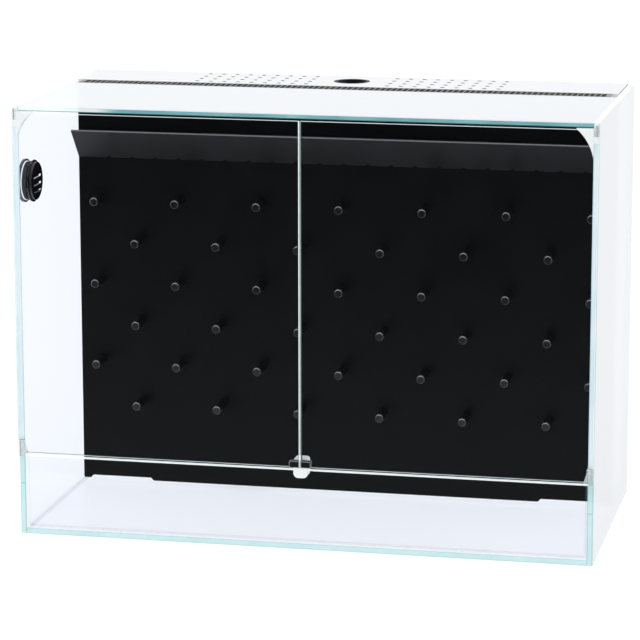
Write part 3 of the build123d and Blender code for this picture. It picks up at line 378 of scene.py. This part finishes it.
def slotted_abs(name):
    """Polished ABS on the vent's cap, its slots' walls painted white and made to glow, painted light
    that stands for daylight from outside.

    Their ends towards the front are painted white, a painted highlight, and their floors are
    painted paler in the higher slots, painted light."""
    material, tree = empty_material(name)
    place = add_node(tree, "ShaderNodeTexCoord")
    normal = add_node(tree, "ShaderNodeSeparateXYZ", {}, {0: place.outputs["Normal"]})
    spot = add_node(tree, "ShaderNodeSeparateXYZ", {}, {0: place.outputs["Object"]})
    cloud, black = two_tones(tree, place, "#0b0a0d", "#151218", 10)
    tier = add_node(tree, "ShaderNodeMapRange", {}, {
        "Value": spot.outputs["Z"], "From Min": VENT[2] - 9 * MM, "From Max": VENT[2] + 4 * MM})
    painted_slot_light = add_node(tree, "ShaderNodeMix", {"data_type": "RGBA"}, {
        "Factor": tier.outputs[0], 6: colour("#747278"), 7: colour("#d6d4d2")})
    lit = add_node(tree, "ShaderNodeMapRange", {}, {
        "Value": normal.outputs["Y"], "From Min": -0.3, "From Max": -0.8})
    painted_daylight = add_node(tree, "ShaderNodeMix", {"data_type": "RGBA"}, {
        "Factor": lit.outputs[0], 6: painted_slot_light.outputs[2], 7: colour("#ffffff")})

    # The slots' walls: across the cap's face, near its middle and below its small pin hole
    flat = add_node(tree, "ShaderNodeMath", {"operation": "ABSOLUTE"}, {0: normal.outputs["X"]})
    wall = add_node(tree, "ShaderNodeMath", {"operation": "LESS_THAN"}, {0: flat.outputs[0], 1: 0.5})
    low = add_node(tree, "ShaderNodeMath", {"operation": "LESS_THAN"}, {
        0: spot.outputs["Z"], 1: VENT[2] + 10 * MM})
    low_wall = add_node(tree, "ShaderNodeMath", {"operation": "MULTIPLY"}, {
        0: wall.outputs[0], 1: low.outputs[0]})
    slot = add_node(tree, "ShaderNodeMath", {"operation": "MULTIPLY"}, {
        0: low_wall.outputs[0], 1: near_vent(tree, place, VENT_SLOT_REACH).outputs[0]})
    tone = add_node(tree, "ShaderNodeMix", {"data_type": "RGBA"}, {
        "Factor": slot.outputs[0], 6: black.outputs[2], 7: painted_daylight.outputs[2]})
    gloss = add_node(tree, "ShaderNodeMapRange", {}, {
        "Value": cloud.outputs[0], "From Min": CLOUD_LOW, "From Max": CLOUD_HIGH,
        "To Min": 0.08, "To Max": 0.16})
    # The slots glow with painted light
    shine = add_node(tree, "ShaderNodeMath", {"operation": "MULTIPLY"}, {
        0: slot.outputs[0], 1: 0.35})
    surface = add_node(tree, "ShaderNodeBsdfPrincipled", {}, {
        "Base Color": tone.outputs[2], "Roughness": gloss.outputs[0], "IOR": 1.53,
        "Emission Color": painted_daylight.outputs[2], "Emission Strength": shine.outputs[0]})
    add_node(tree, "ShaderNodeOutputMaterial", {}, {"Surface": surface.outputs[0]})
    return material


def silicone_sleeve(name):
    """Clear silicone sleeve: milky in the rim outside the glass, see-through along the bore, and
    brightened by a painted glow.
    """
    material, tree = empty_material(name)
    place = add_node(tree, "ShaderNodeTexCoord")
    spot = add_node(tree, "ShaderNodeSeparateXYZ", {}, {0: place.outputs["Object"]})
    rim = add_node(tree, "ShaderNodeMapRange", {"interpolation_type": "SMOOTHSTEP"}, {
        "Value": spot.outputs["X"], "From Min": -299.6 * MM, "From Max": -298.6 * MM,
        "To Min": 0.95, "To Max": 0.0})
    _, tone = two_tones(tree, place, "#eceef2", "#fafbfc", 4)
    # The sleeve's emission is a painted glow
    surface = add_node(tree, "ShaderNodeBsdfPrincipled", {}, {
        "Base Color": tone.outputs[2], "Roughness": 0.28, "IOR": 1.41, "Alpha": rim.outputs[0],
        "Emission Color": tone.outputs[2], "Emission Strength": 0.7})
    add_node(tree, "ShaderNodeOutputMaterial", {}, {"Surface": surface.outputs[0]})
    return material


# ------------------------------------------------------------------ the tank

# Float glass: the eye gets pale faces with a hint of blue and bright green-white edges; the
# faces' paleness is a painted reflection, and the edges carry painted light, shade and glow
float_glass("float_glass_floor", ["bottom_glass"], "Z", "#cdeef0", "#a9dade", haze=0.2, body=0.5,
            glow=0.05, glued="X")
float_glass("float_glass_top", ["top_front_glass"], "Z", "#8ecdd4", "#2f757c", haze=0.94,
            body=0.75, glow=0.1, under=0.9, glued="X", veil=("X", -188, -215, 0.75))
float_glass("float_glass_low_panel", ["lower_front_glass"], "Y", "#f4ffff", "#d9f2f2", glow=0.5,
            glued="XZ")
float_glass("float_glass_back", ["back_glass"], "Y", body=0.5, glow=0.05, glued="XZ")
for hand, haze in zip(HANDS, (0.25, 0.96)):
    float_glass(f"float_glass_{hand}", [f"{hand}_side_glass"], "X", haze=haze, body=0.92, glow=0.1,
                glued="Z", veil=("Z", COVERED_FROM, COVERED_WHOLLY, 0.75), tick=EDGE_MARK)
float_glass("float_glass_doors", ["left_door_glass", "right_door_glass"], "Y", "#eef8f7", "#9cc3c2",
            glow=0.32, under=-0.4, outline=1.5)
float_glass("float_glass_blocks", ["mesh_end_blocks"], "Z", body=0.5, glow=0.05, glued="X")

# Clear silicone, gunned and tooled: soft, milky, slightly uneven
dress(worked("clear_silicone", "#e4eaee", "#f4f7f9", 9, (0.25, 0.4), 1.5, 0.05,
             Alpha=0.035, IOR=1.41),
      "floor_seam", "rear_corner_seams", "front_corner_seams", "wall_seams", "top_seams")

# Foamed PVC sheet, extruded: matt black with a very fine skin texture
dress(worked("black_pvc_sheet", "#040506", "#08090b", 60, (0.42, 0.5), 0.9, 0.03, IOR=1.25),
      "planting_wall")

# Satin black acrylic strip: greyer than the wall with a soft sheen, partly painted light for
# its upward tilt, and a painted highlight on its sawn lip
dress(worked("satin_black_acrylic", "#0b0c0e", "#111215", 50, (0.34, 0.46), 1.4, 0.02,
             cut=(LIP_RISE, 0.03, "#6e7072"), IOR=1.38), "trough_flap")

# Turned acetal: satin black pegs with a painted highlight ring round each tip
dress(turned_rod("turned_black_acetal"), *(f"peg_row_{row}" for row in range(1, 7)))

# Moulded polypropylene lattice: black, with a smooth skin that catches the light from behind
dress(worked("black_polypropylene", "#0b0c0e", "#15171a", 12, (0.22, 0.32), 0.6, 0.01),
      "mesh_frame", "mesh_strip")

# Cast acrylic cover sheet: pale and satin, faintly cloudy, its edges and holes a darker grey
dress(worked("pale_satin_acrylic", "#f1f3f8", "#f8f9fc", 40, (0.28, 0.4), 1.1, 0.01,
             cut=(0.0, 0.5, "#54555a"), IOR=1.49), "rear_cover")

# Nitrile rubber: matt black with a grey bloom
dress(worked("black_nitrile_rubber", "#0c0c0d", "#191a1b", 5, (0.6, 0.8), 0.7, 0.05, IOR=1.52),
      "cable_grommet", "pump_suction_cups")

# ------------------------------------------------------------ hinges and catch

# Moulded polycarbonate with a frosted skin: milky white over the black wall, with a faint
# painted glow
dress(worked("frosted_polycarbonate", "#f3f8f9", "#fcfefe", 4, (0.28, 0.42), 0.6, 0.03,
             Alpha=0.8, IOR=1.58,
             **{"Emission Color": colour("#fcfefe"), "Emission Strength": 0.08}),
      *(f"{hand}_upper_hinge_shoe" for hand in HANDS))

# The small hinge parts are clear: they show by their gloss and a pale rim
dress(worked("clear_polycarbonate", "#f3f8f9", "#fcfefe", 4, (0.12, 0.2), 0.6, 0.01,
             Alpha=0.27, IOR=1.58),
      *(f"{hand}_lower_hinge_shoe" for hand in HANDS),
      *(f"{hand}_{level}_hinge_bracket" for hand in HANDS for level in LEVELS))

# Drawn stainless wire: fine lines along its length
dress(worked("drawn_stainless_steel", "#a9abad", "#bcbec0", 3, (0.2, 0.3), 0.25, 0.01,
             (1, 1, 0.05), Metallic=1.0),
      *(f"{hand}_{level}_hinge_pin" for hand in HANDS for level in LEVELS))

# Blued spring steel, folded: near black, with the sheared edges left bright
for hand in HANDS:
    plate = f"{hand}_strike_plate"
    dress(sheared_steel(f"blued_spring_steel_{hand}", plate), plate)

# Milky polypropylene: translucent white clip, brightened by a painted glow
dress(worked("milky_polypropylene", "#f0f3f5", "#fafbfc", 5, (0.3, 0.42), 0.7, 0.02, Alpha=0.94,
             **{"Emission Color": colour("#fafbfc"), "Emission Strength": 0.12}), "catch_holder")

# Nickel plated magnet: bright grey
dress(worked("nickel_plate", "#9a9a98", "#b3b2af", 4, (0.18, 0.3), 0.5, 0.005, Metallic=1.0),
      "catch_magnet")

# ----------------------------------------------------- side vent and water feed

# Moulded ABS with a polished skin: deep glossy black, on the cap with slots painted bright,
# painted light
dress(worked("polished_black_abs", "#0b0a0d", "#121014", 10, (0.08, 0.16), 1.2, 0.01, IOR=1.53),
      "vent_plug")
dress(slotted_abs("polished_black_abs_cap"), "vent_cap")

# Moulded clear silicone: a thin white ring where it is pressed between plug and glass, its
# brightness a painted glow
dress(silicone_sleeve("clear_silicone_sleeve"), "vent_gasket")

# Etched stainless screen: dull grey
dress(worked("etched_stainless_screen", "#6f7073", "#8e9092", 3, (0.35, 0.5), 0.4, 0.01,
             Metallic=1.0), "vent_screen")

# Moulded ABS with a spark eroded skin: matt black
dress(worked("textured_black_abs", "#101113", "#18191c", 10, (0.45, 0.6), 0.5, 0.04, IOR=1.53),
      "pump_body", "pump_intake_cover")

# Glass filled nylon: pale grey with a mottled skin
dress(worked("grey_filled_nylon", "#a3a5a8", "#b8babd", 2.5, (0.4, 0.55), 0.5, 0.03, IOR=1.53),
      "pump_impeller")

# Ground stainless shaft: bright, with very fine lines round it
dress(worked("ground_stainless_steel", "#a9aaab", "#bfc0c1", 3, (0.12, 0.2), 0.2, 0.003,
             (0.05, 1, 1), Metallic=1.0), "pump_shaft")

# Extruded soft PVC: clear, with faint draw lines
dress(worked("clear_soft_pvc", "#d9e4e6", "#eaf1f2", 12, (0.1, 0.2), 0.8, 0.02,
             (1, 1, 0.08), Alpha=0.4, IOR=1.53), "riser_pipe")

# Extruded rigid PVC: dark grey, satin
dress(worked("dark_grey_rigid_pvc", "#303236", "#3a3d41", 15, (0.32, 0.45), 0.8, 0.02,
             (0.08, 1, 1), IOR=1.53), "spray_bar", "spray_bar_caps", "spray_bar_clips")


# --------------------------------------------------------------------- studio

WHITE = colour("#ffffff")


def soft_lamp(name, spot, aim, wide, high, watts):
    """A rectangular softbox looking at a point, unseen itself."""
    light = bpy.data.lights.new(name, "AREA")
    light.shape = "RECTANGLE"
    light.size = wide
    light.size_y = high
    light.energy = watts
    lamp = bpy.data.objects.new(name, light)
    lamp.location = spot
    lamp.rotation_euler = (Vector(aim) - Vector(spot)).to_track_quat("-Z", "Y").to_euler()
    lamp.visible_camera = False
    lamp.visible_glossy = False
    scene.collection.objects.link(lamp)


soft_lamp("overhead_softbox", (0.0, -0.2, 2.4), (0.0, 0.0, 0.3), 2.4, 1.8, 2.5)
soft_lamp("left_softbox", (-1.8, -2.6, 0.9), (0.0, 0.0, 0.2), 1.4, 1.4, 12.0)

# World: white to the eye, an even light on the object, dark behind the camera in reflections
EVEN_LIGHT = 0.88
DARK_ROOM, BRIGHT_WALL = 0.04, 1.15
world = bpy.data.worlds.new("white_studio")
scene.world = world
world.use_nodes = True
sky = world.node_tree
sky.nodes.clear()
ray = add_node(sky, "ShaderNodeLightPath")
heading = add_node(sky, "ShaderNodeTexCoord")
turn = add_node(sky, "ShaderNodeSeparateXYZ", {}, {0: heading.outputs["Generated"]})
rear = add_node(sky, "ShaderNodeMapRange", {"interpolation_type": "SMOOTHSTEP"}, {
    "Value": turn.outputs["Y"], "From Min": -0.45, "From Max": 0.35,
    "To Min": DARK_ROOM, "To Max": BRIGHT_WALL})
above = add_node(sky, "ShaderNodeMapRange", {"interpolation_type": "SMOOTHSTEP"}, {
    "Value": turn.outputs["Z"], "From Min": 0.35, "From Max": 0.9, "To Min": 0.0, "To Max": 1.0})
mirror = add_node(sky, "ShaderNodeMath", {"operation": "MAXIMUM"}, {
    0: rear.outputs[0], 1: above.outputs[0]})
lit = add_node(sky, "ShaderNodeMix", {"data_type": "FLOAT"}, {
    "Factor": ray.outputs["Is Glossy Ray"], 2: EVEN_LIGHT, 3: mirror.outputs[0]})
straight = add_node(sky, "ShaderNodeMath", {"operation": "MAXIMUM"}, {
    0: ray.outputs["Is Camera Ray"], 1: ray.outputs["Is Transmission Ray"]})
strength = add_node(sky, "ShaderNodeMix", {"data_type": "FLOAT"}, {
    "Factor": straight.outputs[0], 2: lit.outputs[0], 3: 1.0})
back = add_node(sky, "ShaderNodeBackground", {}, {"Color": WHITE, "Strength": strength.outputs[0]})
add_node(sky, "ShaderNodeOutputWorld", {}, {"Surface": back.outputs[0]})

# Floor: white paper that keeps the shadow of the object
FLOOR_FRONT, FLOOR_REAR, FLOOR_SIDE, FLOOR_DROP = -0.62, 14.0, 8.0, 0.3 * MM
PAPER_GREY = colour("#959595")
PAPER_LIT, PAPER_SEEN = 0.4, 0.85
sheet = bmesh.new()
bmesh.ops.create_grid(sheet, x_segments=1, y_segments=1, size=1.0)
bmesh.ops.scale(sheet, vec=(FLOOR_SIDE, (FLOOR_REAR - FLOOR_FRONT) / 2, 1), verts=sheet.verts)
bmesh.ops.translate(sheet, vec=(0, (FLOOR_REAR + FLOOR_FRONT) / 2, -FLOOR_DROP), verts=sheet.verts)
floor_mesh = bpy.data.meshes.new("paper_floor")
sheet.to_mesh(floor_mesh)
sheet.free()
paper_floor = bpy.data.objects.new("paper_floor", floor_mesh)
scene.collection.objects.link(paper_floor)

paper, tree = empty_material("white_paper")
ray = add_node(tree, "ShaderNodeLightPath")
straight = add_node(tree, "ShaderNodeMath", {"operation": "MAXIMUM"}, {
    0: ray.outputs["Is Camera Ray"], 1: ray.outputs["Is Transmission Ray"]})
seen = add_node(tree, "ShaderNodeMath", {"operation": "MAXIMUM"}, {
    0: straight.outputs[0], 1: ray.outputs["Is Glossy Ray"]})
glow = add_node(tree, "ShaderNodeMapRange", {}, {
    "Value": seen.outputs[0], "To Min": PAPER_LIT, "To Max": PAPER_SEEN})
matt = add_node(tree, "ShaderNodeBsdfDiffuse", {}, {"Color": PAPER_GREY})
lift = add_node(tree, "ShaderNodeEmission", {}, {"Color": WHITE, "Strength": glow.outputs[0]})
surface = add_node(tree, "ShaderNodeAddShader", {}, {0: matt.outputs[0], 1: lift.outputs[0]})
add_node(tree, "ShaderNodeOutputMaterial", {}, {"Surface": surface.outputs[0]})
floor_mesh.materials.append(paper)

# Camera at the photograph's angle
EYE = (0.66564, -3.15058, 0.88644)
LOOK_DOWN, LEAN, LOOK_LEFT = 0.2072, 0.0009, 0.2118
camera = bpy.data.cameras.new("camera")
camera.sensor_width = 36.0
camera.lens = 174.76
camera.clip_end = 50.0
eye = bpy.data.objects.new("camera", camera)
eye.location = EYE
eye.rotation_euler = (pi / 2 - LOOK_DOWN, LEAN, LOOK_LEFT)
scene.collection.objects.link(eye)
scene.camera = eye
scene.view_settings.view_transform = "Standard"
